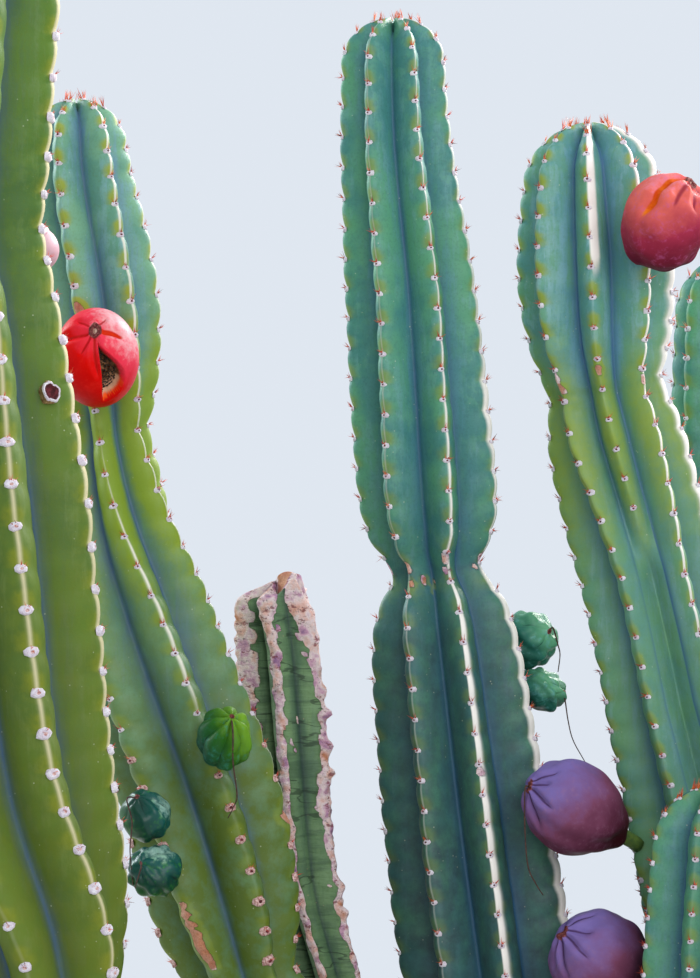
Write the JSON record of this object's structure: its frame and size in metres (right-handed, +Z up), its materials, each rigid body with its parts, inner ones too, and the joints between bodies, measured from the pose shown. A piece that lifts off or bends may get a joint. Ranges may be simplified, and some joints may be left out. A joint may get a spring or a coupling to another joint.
{
  "type": "peruvian apple cactus",
  "caption": "Clump of tall ribbed cactus stems rising from one short woody trunk, with waists where growth paused, a scarred stub and round fruit on the ribs.",
  "frame": {"origin": "centre of the flat cut under the trunk, at ground level", "axes": "+Z up, -Y the front that the picture shows, +X to the right seen from the front"},
  "size_m": [1.1795, 0.8699, 2.29],
  "materials": {
    "bark": "matte",
    "green_skin": "satin",
    "olive_skin": "satin",
    "scarred_skin": "matte",
    "red_fruit": "satin",
    "blush_fruit": "satin",
    "purple_fruit": "satin",
    "green_fruit": "satin"
  },
  "bodies": {
    "root": {"back_left_stem_foot": "green_skin", "back_left_stem_upper": "green_skin", "back_purple_fruit": "purple_fruit", "back_right_stem_foot": "green_skin", "back_right_stem_lower": "green_skin", "back_right_stem_upper": "green_skin", "back_stem_foot": "green_skin", "back_stem_upper": "green_skin", "blush_fruit": "blush_fruit", "centre_stem_lower": "green_skin", "centre_stem_upper": "green_skin", "dark_fruit_lower": "green_fruit", "dark_fruit_upper": "green_fruit", "far_right_green_fruit": "green_fruit", "far_right_red_fruit": "red_fruit", "far_right_stem_foot": "green_skin", "far_right_stem_lower": "green_skin", "far_right_stem_upper": "green_skin", "front_left_stem_foot": "olive_skin", "front_left_stem_lower": "olive_skin", "front_left_stem_middle": "olive_skin", "front_left_stem_upper": "olive_skin", "front_right_fruit": "red_fruit", "front_right_stem_foot": "green_skin", "front_right_stem_lower": "green_skin", "front_right_stem_upper": "green_skin", "green_fruit_left": "green_fruit", "green_fruit_lower": "green_fruit", "green_fruit_upper": "green_fruit", "left_stem_foot": "green_skin", "left_stem_lower": "green_skin", "left_stem_middle": "green_skin", "left_stem_upper": "green_skin", "plum_fruit": "red_fruit", "purple_fruit_lower": "purple_fruit", "purple_fruit_upper": "purple_fruit", "red_fruit": "red_fruit", "right_stem_foot": "green_skin", "right_stem_lower": "green_skin", "right_stem_upper": "green_skin", "stub_stem_foot": "scarred_skin", "stub_stem_upper": "scarred_skin", "trunk": "bark", "young_front_stem_foot": "green_skin", "young_front_stem_upper": "green_skin"}
  },
  "joints": []
}
